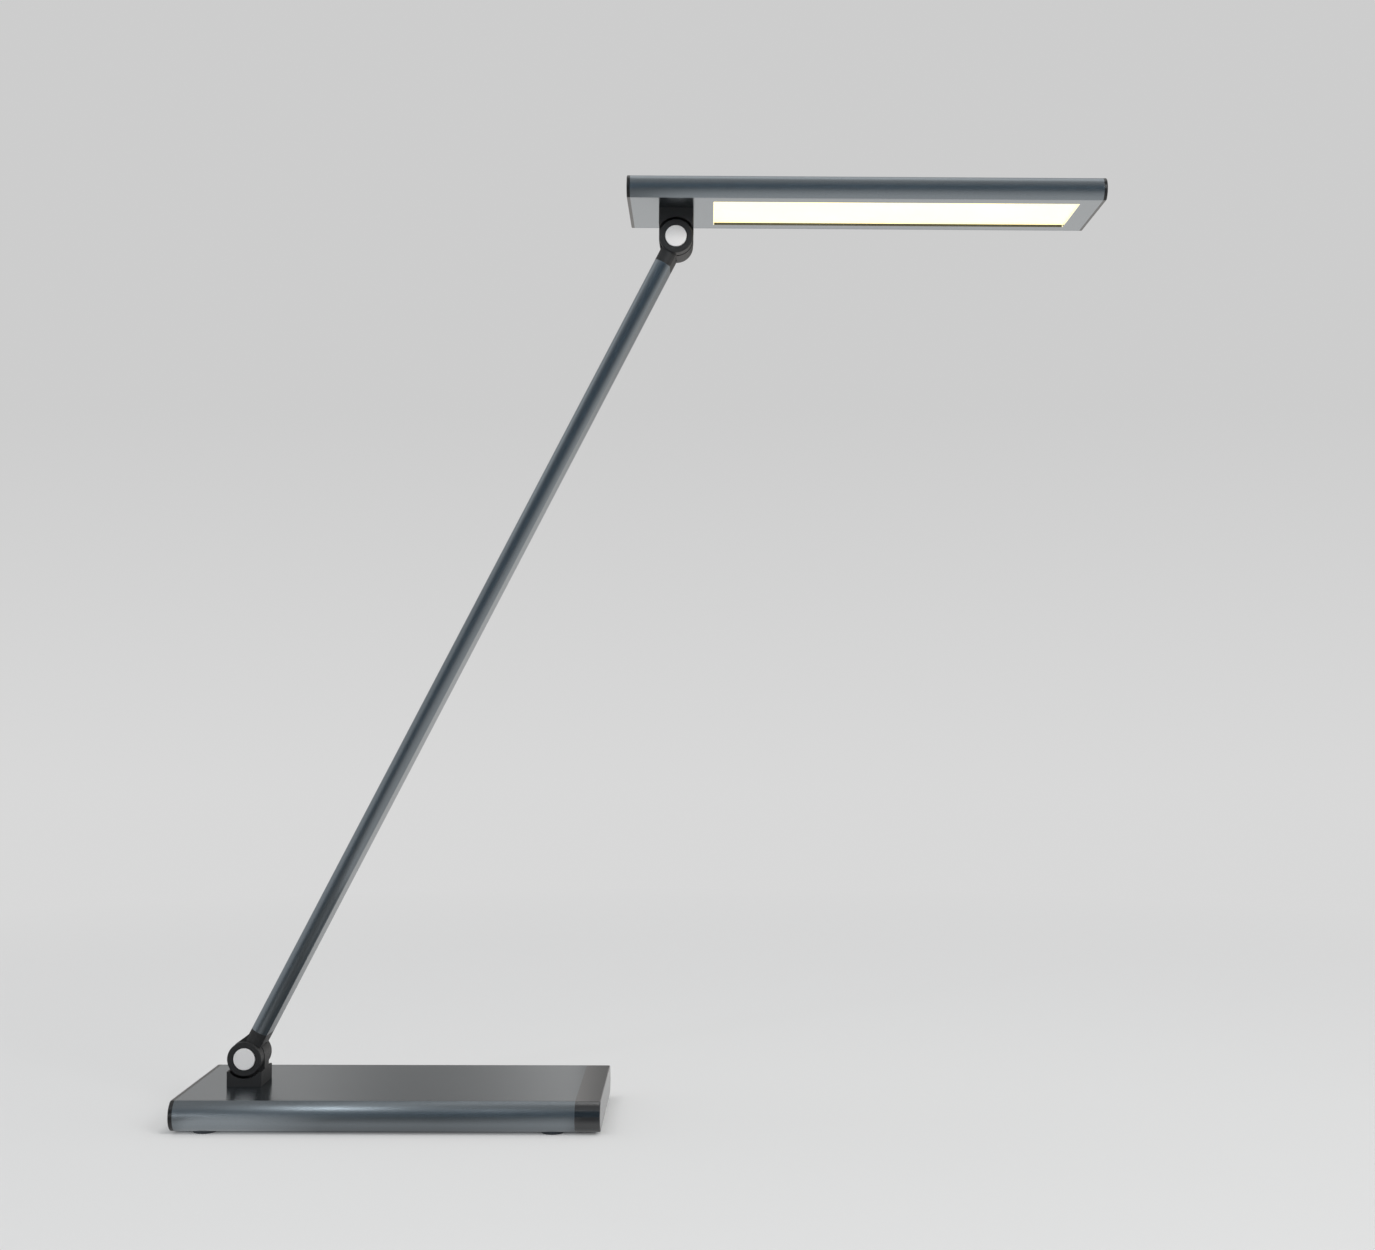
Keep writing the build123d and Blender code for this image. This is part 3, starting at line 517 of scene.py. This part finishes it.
def turned(name, rings):
    """A round piece on the Z axis: rings of (radius, height), each extruded from the last."""
    bpy.ops.object.select_all(action="DESELECT")
    radius, height = rings[0]
    bpy.ops.mesh.primitive_circle_add(
        vertices=TURNED_FACES, radius=radius, fill_type="NGON", location=(0, 0, height)
    )
    piece = bpy.context.object
    piece.name = name
    bpy.ops.object.transform_apply(location=True, rotation=True, scale=True)
    bpy.ops.object.mode_set(mode="EDIT")
    for next_radius, next_height in rings[1:]:
        bpy.ops.mesh.extrude_region_move(
            TRANSFORM_OT_translate={"value": (0, 0, next_height - height)}
        )
        share = next_radius / radius
        bpy.ops.transform.resize(value=(share, share, 1), center_override=(0, 0, next_height))
        radius, height = next_radius, next_height
    bpy.ops.mesh.select_all(action="SELECT")
    bpy.ops.mesh.normals_make_consistent(inside=False)
    bpy.ops.object.mode_set(mode="OBJECT")
    return piece


def round_ring(piece, radius, height, size, steps=4):
    """Rounds the ring of edges at a radius and height."""
    def on_ring(vertex):
        across = vertex.co.xy.length
        return abs(across - radius) < SAME_PLACE and abs(vertex.co.z - height) < SAME_PLACE

    bpy.ops.object.mode_set(mode="EDIT")
    bpy.ops.mesh.select_mode(type="EDGE")
    bpy.ops.mesh.select_all(action="DESELECT")
    bpy.ops.object.mode_set(mode="OBJECT")
    for edge in piece.data.edges:
        edge.select = all(on_ring(piece.data.vertices[index]) for index in edge.vertices)
    bpy.ops.object.mode_set(mode="EDIT")
    bpy.ops.mesh.bevel(offset=size, segments=steps, profile=0.5, affect="EDGES")
    bpy.ops.object.mode_set(mode="OBJECT")


def cross_cutter(arm, width, depth):
    """A cross with tapered arms: a block whose four sides are drawn out and whose foot is drawn in."""
    bpy.ops.object.select_all(action="DESELECT")
    bpy.ops.mesh.primitive_cube_add(size=1)
    cutter = bpy.context.object
    cutter.scale = (width, width, 2 * depth)
    bpy.ops.object.transform_apply(location=True, rotation=True, scale=True)
    bpy.ops.object.mode_set(mode="EDIT")
    bpy.ops.mesh.select_mode(type="FACE")
    bpy.ops.mesh.select_all(action="DESELECT")
    bpy.ops.object.mode_set(mode="OBJECT")
    for face in cutter.data.polygons:
        face.select = abs(face.normal.z) < 0.5
    bpy.ops.object.mode_set(mode="EDIT")
    bpy.ops.mesh.extrude_faces_move(TRANSFORM_OT_shrink_fatten={"value": arm - width / 2})
    bpy.ops.mesh.select_mode(type="VERT")
    bpy.ops.mesh.select_all(action="DESELECT")
    bpy.ops.object.mode_set(mode="OBJECT")
    for vertex in cutter.data.vertices:
        vertex.select = vertex.co.z < 0
    bpy.ops.object.mode_set(mode="EDIT")
    bpy.ops.transform.resize(value=(CROSS_FOOT, CROSS_FOOT, 1), center_override=(0, 0, -depth))
    bpy.ops.object.mode_set(mode="OBJECT")
    return cutter


def countersunk_screw(name, head, shank, length):
    """A flat-headed screw with a cross recess: head face at Z = 0, shank towards -Z."""
    cone = head - shank
    rim = SCREW_RIM * head
    screw = turned(
        name,
        [
            (SCREW_POINT * shank, -length),
            (shank, -length + SCREW_POINT_LENGTH * shank),
            (shank, -cone),
            (head - rim, -rim),
            (head - rim, 0),
        ],
    )
    round_ring(screw, head - rim, 0, rim / 2, steps=3)
    depth = min(CROSS_DEPTH * head, CROSS_LIMIT * length)
    cutter = cross_cutter(CROSS_ARM * head, CROSS_WIDTH * head, depth)
    cut = screw.modifiers.new("cross_recess", "BOOLEAN")
    cut.object = cutter
    cut.solver = "EXACT"
    bpy.ops.object.select_all(action="DESELECT")
    bpy.context.view_layer.objects.active = screw
    screw.select_set(True)
    bpy.ops.object.modifier_apply(modifier=cut.name)
    bpy.data.objects.remove(cutter)
    return screw


def rubber_foot():
    """A round foot on Z = 0 with a rounded edge and a shallow dish in its underside."""
    low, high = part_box("base_feet")
    foot = turned(
        "base_foot",
        [
            (FOOT_RADIUS, high.z - low.z),
            (FOOT_RADIUS, 0),
            (FOOT_DISH, 0),
            (FOOT_DISH - FOOT_DISH_DEPTH, FOOT_DISH_DEPTH),
        ],
    )
    round_ring(foot, FOOT_RADIUS, 0, FOOT_EDGE)
    round_ring(foot, FOOT_DISH, 0, FOOT_DISH_DEPTH / 3, steps=2)
    return foot


def bright_disc():
    """A turned cap with a rounded rim: its face is at Z = 0 and looks along +Z."""
    disc = turned(
        "bright_disc", [(DISC_RADIUS, -DISC_THICKNESS), (DISC_RADIUS, 0), (DISC_FACE, 0)]
    )
    round_ring(disc, DISC_RADIUS, 0, DISC_EDGE)
    return disc


def set_copies(piece, node, body, finish, places):
    """Sets a copy of a piece at each place, a matrix, in the stead of a CAD node."""
    bpy.ops.object.select_all(action="DESELECT")
    piece.data.materials.append(finish)
    for number, place in enumerate(places, 1):
        copy = piece.copy()
        copy.data = piece.data.copy()
        copy.data.transform(place)
        copy.name = f"{node}_{number}"
        bpy.context.scene.collection.objects.link(copy)
        copy.select_set(True)
        bpy.context.view_layer.objects.active = copy
        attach(copy, body)
        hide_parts(node)
    bpy.ops.object.shade_smooth_by_angle(angle=SMOOTH_ANGLE)
    bpy.data.objects.remove(piece)


def place_feet(finish):
    """One near each corner of the base."""
    low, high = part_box("base_feet")
    columns = (low.x + FOOT_RADIUS, high.x - FOOT_RADIUS)
    rows = (low.y + FOOT_RADIUS, high.y - FOOT_RADIUS)
    places = [Matrix.Translation((x, y, low.z)) for x in columns for y in rows]
    set_copies(rubber_foot(), "base_feet", "base", finish, places)


def place_ballast_screws(finish):
    """Heads down, flush with the underside of the base."""
    low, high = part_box("ballast_screws")
    heads_down = Matrix.Rotation(pi, 4, "X")
    screw = countersunk_screw(
        "ballast_screw", BALLAST_SCREW_HEAD, BALLAST_SCREW_SHANK, BALLAST_SCREW_LENGTH
    )
    columns = (low.x + BALLAST_SCREW_HEAD, high.x - BALLAST_SCREW_HEAD)
    places = [Matrix.Translation((x, 0, low.z)) @ heads_down for x in columns]
    set_copies(screw, "ballast_screws", "base", finish, places)


def place_fork_screws(finish):
    """On the back of the arm, one over each fork's spigot."""
    outwards = Vector((0, 0, 1)).rotation_difference(arm_back).to_matrix().to_4x4()
    screw = countersunk_screw("fork_screw", FORK_SCREW_HEAD, FORK_SCREW_SHANK, FORK_SCREW_LENGTH)
    ends = (lower_pivot + FORK_SCREW_REACH * arm_axis, upper_pivot - FORK_SCREW_REACH * arm_axis)
    places = [Matrix.Translation(end + ARM_HALF_WIDTH * arm_back) @ outwards for end in ends]
    set_copies(screw, "fork_screws", "arm", finish, places)


def place_discs(node, pivot, finish):
    """Front and back of a hinge."""
    low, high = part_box(node)
    front = Matrix.Translation((pivot.x, low.y, pivot.z)) @ Matrix.Rotation(pi / 2, 4, "X")
    back = Matrix.Translation((pivot.x, high.y, pivot.z)) @ Matrix.Rotation(-pi / 2, 4, "X")
    set_copies(bright_disc(), node, "arm", finish, (front, back))


# Dressing the lamp

def dress(finish, *nodes):
    """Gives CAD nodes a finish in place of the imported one."""
    for name in nodes:
        for material_slot in frame["nodes"][name].material_slots:
            material_slot.material = finish


def dress_extrusions():
    dress(satin_anodised("satin_anodised_base", LENGTHWAYS, BASE_FLAT), "base_extrusion")
    dress(satin_anodised("satin_anodised_arm", arm_axis), "arm_tube")
    head = satin_anodised("satin_anodised_head", head_axis, HEAD_FLAT, HEAD_PAINTED_LIGHT, painted_opening_walls)
    dress(head, "head_extrusion")
    dress(moulded_black(), "base_left_cap", "head_left_cap", "head_right_cap")
    dress(touch_plastic(), "base_right_cap")


def dress_hinges():
    dress(powder_coat(), "base_bracket", "head_bracket", "lower_fork", "upper_fork")
    place_discs("lower_pin_caps", lower_pivot, turned_disc("turned_lower_disc", lower_pivot))
    place_discs("upper_pin_caps", upper_pivot, turned_disc("turned_upper_disc", upper_pivot))
    slip_plastic = soft_surface(
        "slip_washer_plastic", (0.66, 0.64, 0.58), (0.74, 0.72, 0.66),
        scale=900, rough=0.4, height=4e-6,
    )
    dress(slip_plastic, "lower_friction_washers", "upper_friction_washers")


def dress_feet_and_screws():
    place_feet(foot_rubber())
    steel = plain_metal("bright_zinc_steel", (0.50, 0.51, 0.53), rough=0.32)
    place_ballast_screws(steel)
    place_fork_screws(steel)
    dress(steel, "base_bracket_screws", "head_bracket_screws")
    for end in ("lower", "upper"):
        dress(steel, f"{end}_bolt", f"{end}_nut", f"{end}_spring_washer")


def dress_panel():
    dress(lit_opal(), "diffuser")
    dress(clear_guide(), "light_guide")
    film = soft_surface(
        "white_reflector_film", (0.82, 0.82, 0.81), (0.88, 0.88, 0.87),
        scale=1500, rough=0.6, height=3e-6,
    )
    dress(film, "reflector_sheet")
    dress(phosphor(), "led_chips")
    dress(plain_metal("mill_aluminium", (0.72, 0.73, 0.74), rough=0.36), "back_plate")
    foam = soft_surface(
        "grey_pad_foam", (0.10, 0.10, 0.105), (0.19, 0.19, 0.195),
        scale=1100, rough=0.85, height=1e-4,
    )
    dress(foam, "pressure_pads")


def dress_inner_pieces():
    dress(plain_metal("hot_rolled_ballast", (0.20, 0.195, 0.19), rough=0.5), "ballast_plate")
    dress(plain_metal("plated_brass", (0.62, 0.45, 0.17), rough=0.28), "dc_pin", "touch_electrode")
    dress(solder_mask(), "driver_board", "touch_board", "led_board")
    resin = soft_surface(
        "black_component_resin", (0.012, 0.012, 0.013), (0.022, 0.022, 0.023),
        scale=1600, rough=0.5, height=6e-6,
    )
    dress(resin, "driver_components", "dc_inlet", "board_spacers")
    sheath = soft_surface(
        "soft_lead_sheath", (0.010, 0.010, 0.011), (0.018, 0.018, 0.019),
        scale=1300, rough=0.6, height=8e-6,
    )
    dress(sheath, "inlet_lead", "base_lead", "touch_lead", "arm_lead", "head_lead")


# Stage: a seamless pale sweep, soft light and the camera

def painted_sweep_reflection(finish, parts):
    """Painted reflection of the sweep in the metal: levels by depth, painted shade before the base and
    a painted band across the backdrop.
    """
    colour = finish.stops(finish.along(parts["Y"], DEPTH_SPAN), DEPTH)
    painted_shade_before_base = finish.levels(finish.along(parts["Y"], BEFORE_BASE_SPAN), PAINTED_SHADE_BEFORE_BASE)
    width_of_base = finish.levels(finish.along(parts["X"], BESIDE_BASE_SPAN), BESIDE_BASE)
    colour = finish.mixed(colour, painted_shade_before_base, width_of_base, "MULTIPLY")
    band = finish.levels(finish.along(parts["X"], BACKDROP_SPAN), PAINTED_BACKDROP_BAND)
    return finish.mixed(colour, band, finish.along(parts["Y"], BACKDROP_START), "MULTIPLY")


def even_share(finish, place):
    """Share of even grey in the paper: all of it far off, less near the lamp, none under the base."""
    far = finish.between(finish.length(place), NEAR_SHARE, 1.0, *FADE)
    low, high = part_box("base_left_cap")[0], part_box("base_right_cap")[1]
    half = (high - low) / 2
    about_base = finish.sides(finish.place(centre=(low + high) / 2))
    clear = (
        finish.along(about_base[axis], (start, start + CONTACT_REACH))
        for axis, start in (("X", half.x), ("Y", half.y - CONTACT_UNDER))
    )
    return finish.joined("MULTIPLY", far, finish.joined("MAXIMUM", *clear))


def pale_paper():
    """Pale paper that takes the lamp's shadow near it and fades into an even pale grey behind it. In
    the metal it shows mostly a painted reflection, not its lit self.
    """
    finish = Finish("pale_sweep_paper", Roughness=0.9, Specular_IOR_Level=0.0)
    place = finish.place()
    cloud = finish.grain(place, scale=0.8)
    finish.feed("Base Color", finish.tint(cloud, PAPER, tuple(PAPER_CLOUD * part for part in PAPER)))
    parts = finish.parts(place)
    ray = finish.node("ShaderNodeLightPath").outputs
    in_metal = ray["Is Glossy Ray"]
    shown = finish.tint(parts["Z"], BACKDROP_LOW, BACKDROP_HIGH, *BACKDROP_CHANGE)
    # Glossy rays see the painted reflection levels in place of the even grey
    colour = finish.mixed(shown, painted_sweep_reflection(finish, parts), in_metal)
    glow = finish.node("ShaderNodeEmission", [("Color", colour)])
    seen = finish.joined("MAXIMUM", ray["Is Camera Ray"], ray["Is Transmission Ray"])
    share = finish.joined("MULTIPLY", seen, even_share(finish, place))
    share = finish.joined("MAXIMUM", share, finish.joined("MULTIPLY", in_metal, METAL_SHARE))
    surface = finish.node(
        "ShaderNodeMixShader",
        [(0, share), (1, finish.shader.outputs["BSDF"]), (2, glow.outputs["Emission"])],
    )
    end = finish.tree.nodes["Material Output"]
    finish.tree.links.new(surface.outputs["Shader"], end.inputs["Surface"])
    return finish.material


def sweep():
    """Floor and backdrop in one sheet: the far edge is spun up a quarter turn, then pulled up."""
    bpy.ops.object.select_all(action="DESELECT")
    bpy.ops.mesh.primitive_plane_add(size=1)
    sheet = bpy.context.object
    sheet.name = "pale_sweep"
    sheet.scale = (2 * SWEEP_HALF_WIDTH, SWEEP_BACK - SWEEP_FRONT, 1)
    sheet.location = (0, (SWEEP_BACK + SWEEP_FRONT) / 2, 0)
    bpy.ops.object.transform_apply(location=True, rotation=True, scale=True)
    bpy.ops.object.mode_set(mode="EDIT")
    bpy.ops.mesh.select_all(action="DESELECT")
    bpy.ops.object.mode_set(mode="OBJECT")
    for vertex in sheet.data.vertices:
        vertex.select = vertex.co.y > 0
    for edge in sheet.data.edges:
        edge.select = all(sheet.data.vertices[index].select for index in edge.vertices)
    bpy.ops.object.mode_set(mode="EDIT")
    bpy.ops.mesh.select_mode(type="EDGE")
    bpy.ops.mesh.spin(
        steps=SWEEP_STEPS, angle=-pi / 2, center=(0, SWEEP_BACK, SWEEP_RADIUS), axis=(1, 0, 0)
    )
    bpy.ops.mesh.extrude_edges_move(TRANSFORM_OT_translate={"value": (0, 0, SWEEP_HEIGHT)})
    bpy.ops.object.mode_set(mode="OBJECT")
    bpy.ops.object.shade_smooth()
    sheet.data.materials.append(pale_paper())


def curtain_cloth():
    """Slate cloth, a little paler on its right half."""
    finish = Finish("slate_curtain_cloth", Roughness=0.95, Specular_IOR_Level=0.0)
    place = finish.place()
    weave = finish.grain(place, scale=900)
    left_half, right_half = (finish.tint(weave, *tones) for tones in (CURTAIN_LEFT, CURTAIN_RIGHT))
    right = finish.along(finish.parts(place)["X"], CURTAIN_CHANGE)
    finish.feed("Base Color", finish.mixed(left_half, right_half, right))
    return finish.material


def dark_curtain():
    """A curtain hung behind the camera, which gives the metal its dark band."""
    bpy.ops.object.select_all(action="DESELECT")
    bpy.ops.mesh.primitive_plane_add(size=1)
    cloth = bpy.context.object
    cloth.name = "dark_curtain"
    cloth.scale = (CURTAIN_WIDTH, CURTAIN_HEIGHT, 1)
    cloth.rotation_euler = (radians(90), 0, 0)
    cloth.location = (0, CURTAIN_FRONT, CURTAIN_HEIGHT / 2)
    bpy.ops.object.transform_apply(location=True, rotation=True, scale=True)
    cloth.data.materials.append(curtain_cloth())
    cloth.visible_camera = False


def studio_air():
    """Soft light from all round. Seen past the edge of the sweep, it is as pale as the sweep."""
    world = bpy.data.worlds.new("studio_air")
    world.use_nodes = True
    tree = world.node_tree
    direction = tree.nodes.new("ShaderNodeTexCoord")
    parts = tree.nodes.new("ShaderNodeSeparateXYZ")
    ramp = tree.nodes.new("ShaderNodeValToRGB")
    set_stops(ramp.color_ramp, STUDIO_AIR)
    tree.links.new(direction.outputs["Generated"], parts.inputs["Vector"])
    tree.links.new(parts.outputs["Z"], ramp.inputs["Fac"])
    ray = tree.nodes.new("ShaderNodeLightPath")
    seen = tree.nodes.new("ShaderNodeMix")
    seen.data_type = "RGBA"
    seen.inputs[7].default_value = (*BACKDROP_LOW, 1)
    tree.links.new(ray.outputs["Is Camera Ray"], seen.inputs[0])
    tree.links.new(ramp.outputs["Color"], seen.inputs[6])
    tree.links.new(seen.outputs[2], tree.nodes["Background"].inputs["Color"])
    bpy.context.scene.world = world


def soft_light(name, place, target, size, watts, colour=(1, 1, 1)):
    """A rectangular lamp that looks at a target."""
    data = bpy.data.lights.new(name, "AREA")
    data.shape = "RECTANGLE"
    data.size, data.size_y = size
    data.energy = watts
    data.color = colour
    light = bpy.data.objects.new(name, data)
    light.location = place
    light.rotation_euler = (Vector(target) - Vector(place)).to_track_quat("-Z", "Y").to_euler()
    bpy.context.scene.collection.objects.link(light)
    return light


def keep_off(light, *nodes):
    """Keeps a lamp's light off these CAD nodes."""
    shaded = bpy.data.collections.new(f"shaded_from_{light.name}")
    for name in nodes:
        shaded.objects.link(frame["nodes"][name])
    for entry in shaded.collection_objects:
        entry.light_linking.link_state = "EXCLUDE"
    light.light_linking.receiver_collection = shaded


def lamps():
    """Three banks overhead, a fill and a low bank from the front, and two strips for the base's bow."""
    soft_light("overhead_bank", (0.15, 0.35, 2.0), (0.1, 0.1, 0.0), size=(1.3, 0.9), watts=4.2)
    soft_light("left_high_bank", (-1.7, 0.1, 2.0), (0, 0, 0), size=(1.6, 1.6), watts=6)
    soft_light("right_high_bank", (1.8, 0.1, 2.0), (0, 0, 0), size=(1.6, 1.6), watts=3.5)
    front_fill = soft_light(
        "front_fill", (0.95, -1.15, 1.0), (0, 0, 0.25), size=(0.7, 0.7), watts=16
    )
    keep_off(front_fill, "base_extrusion", "base_right_cap", "arm_tube", "head_extrusion")
    left_bank = soft_light(
        "left_bank", (-0.81, -1.2, 0.13), (-0.2, 0.0, 0.02), size=(0.70, 0.24), watts=1.4
    )
    keep_off(left_bank, "arm_tube")
    soft_light(
        "high_strip", (-0.355, -0.646, 0.919), (-0.145, -0.048, 0.018),
        size=(0.03, 0.09), watts=0.52, colour=(0.90, 0.96, 1.0),
    )
    soft_light(
        "low_strip", (-0.19, -0.86, 0.80), (-0.085, -0.048, 0.018),
        size=(0.05, 0.16), watts=0.085, colour=(0.88, 0.95, 1.0),
    )


def camera():
    data = bpy.data.cameras.new("photo_camera")
    data.lens = 50
    data.sensor_width = 36
    view = bpy.data.objects.new("photo_camera", data)
    view.location = CAMERA_PLACE
    view.rotation_euler = (radians(CAMERA_TILT), 0, radians(CAMERA_TURN))
    bpy.context.scene.collection.objects.link(view)
    bpy.context.scene.camera = view


dress_extrusions()
dress_hinges()
dress_feet_and_screws()
dress_panel()
dress_inner_pieces()
sweep()
dark_curtain()
studio_air()
lamps()
camera()
bpy.context.scene.view_settings.view_transform = "Standard"
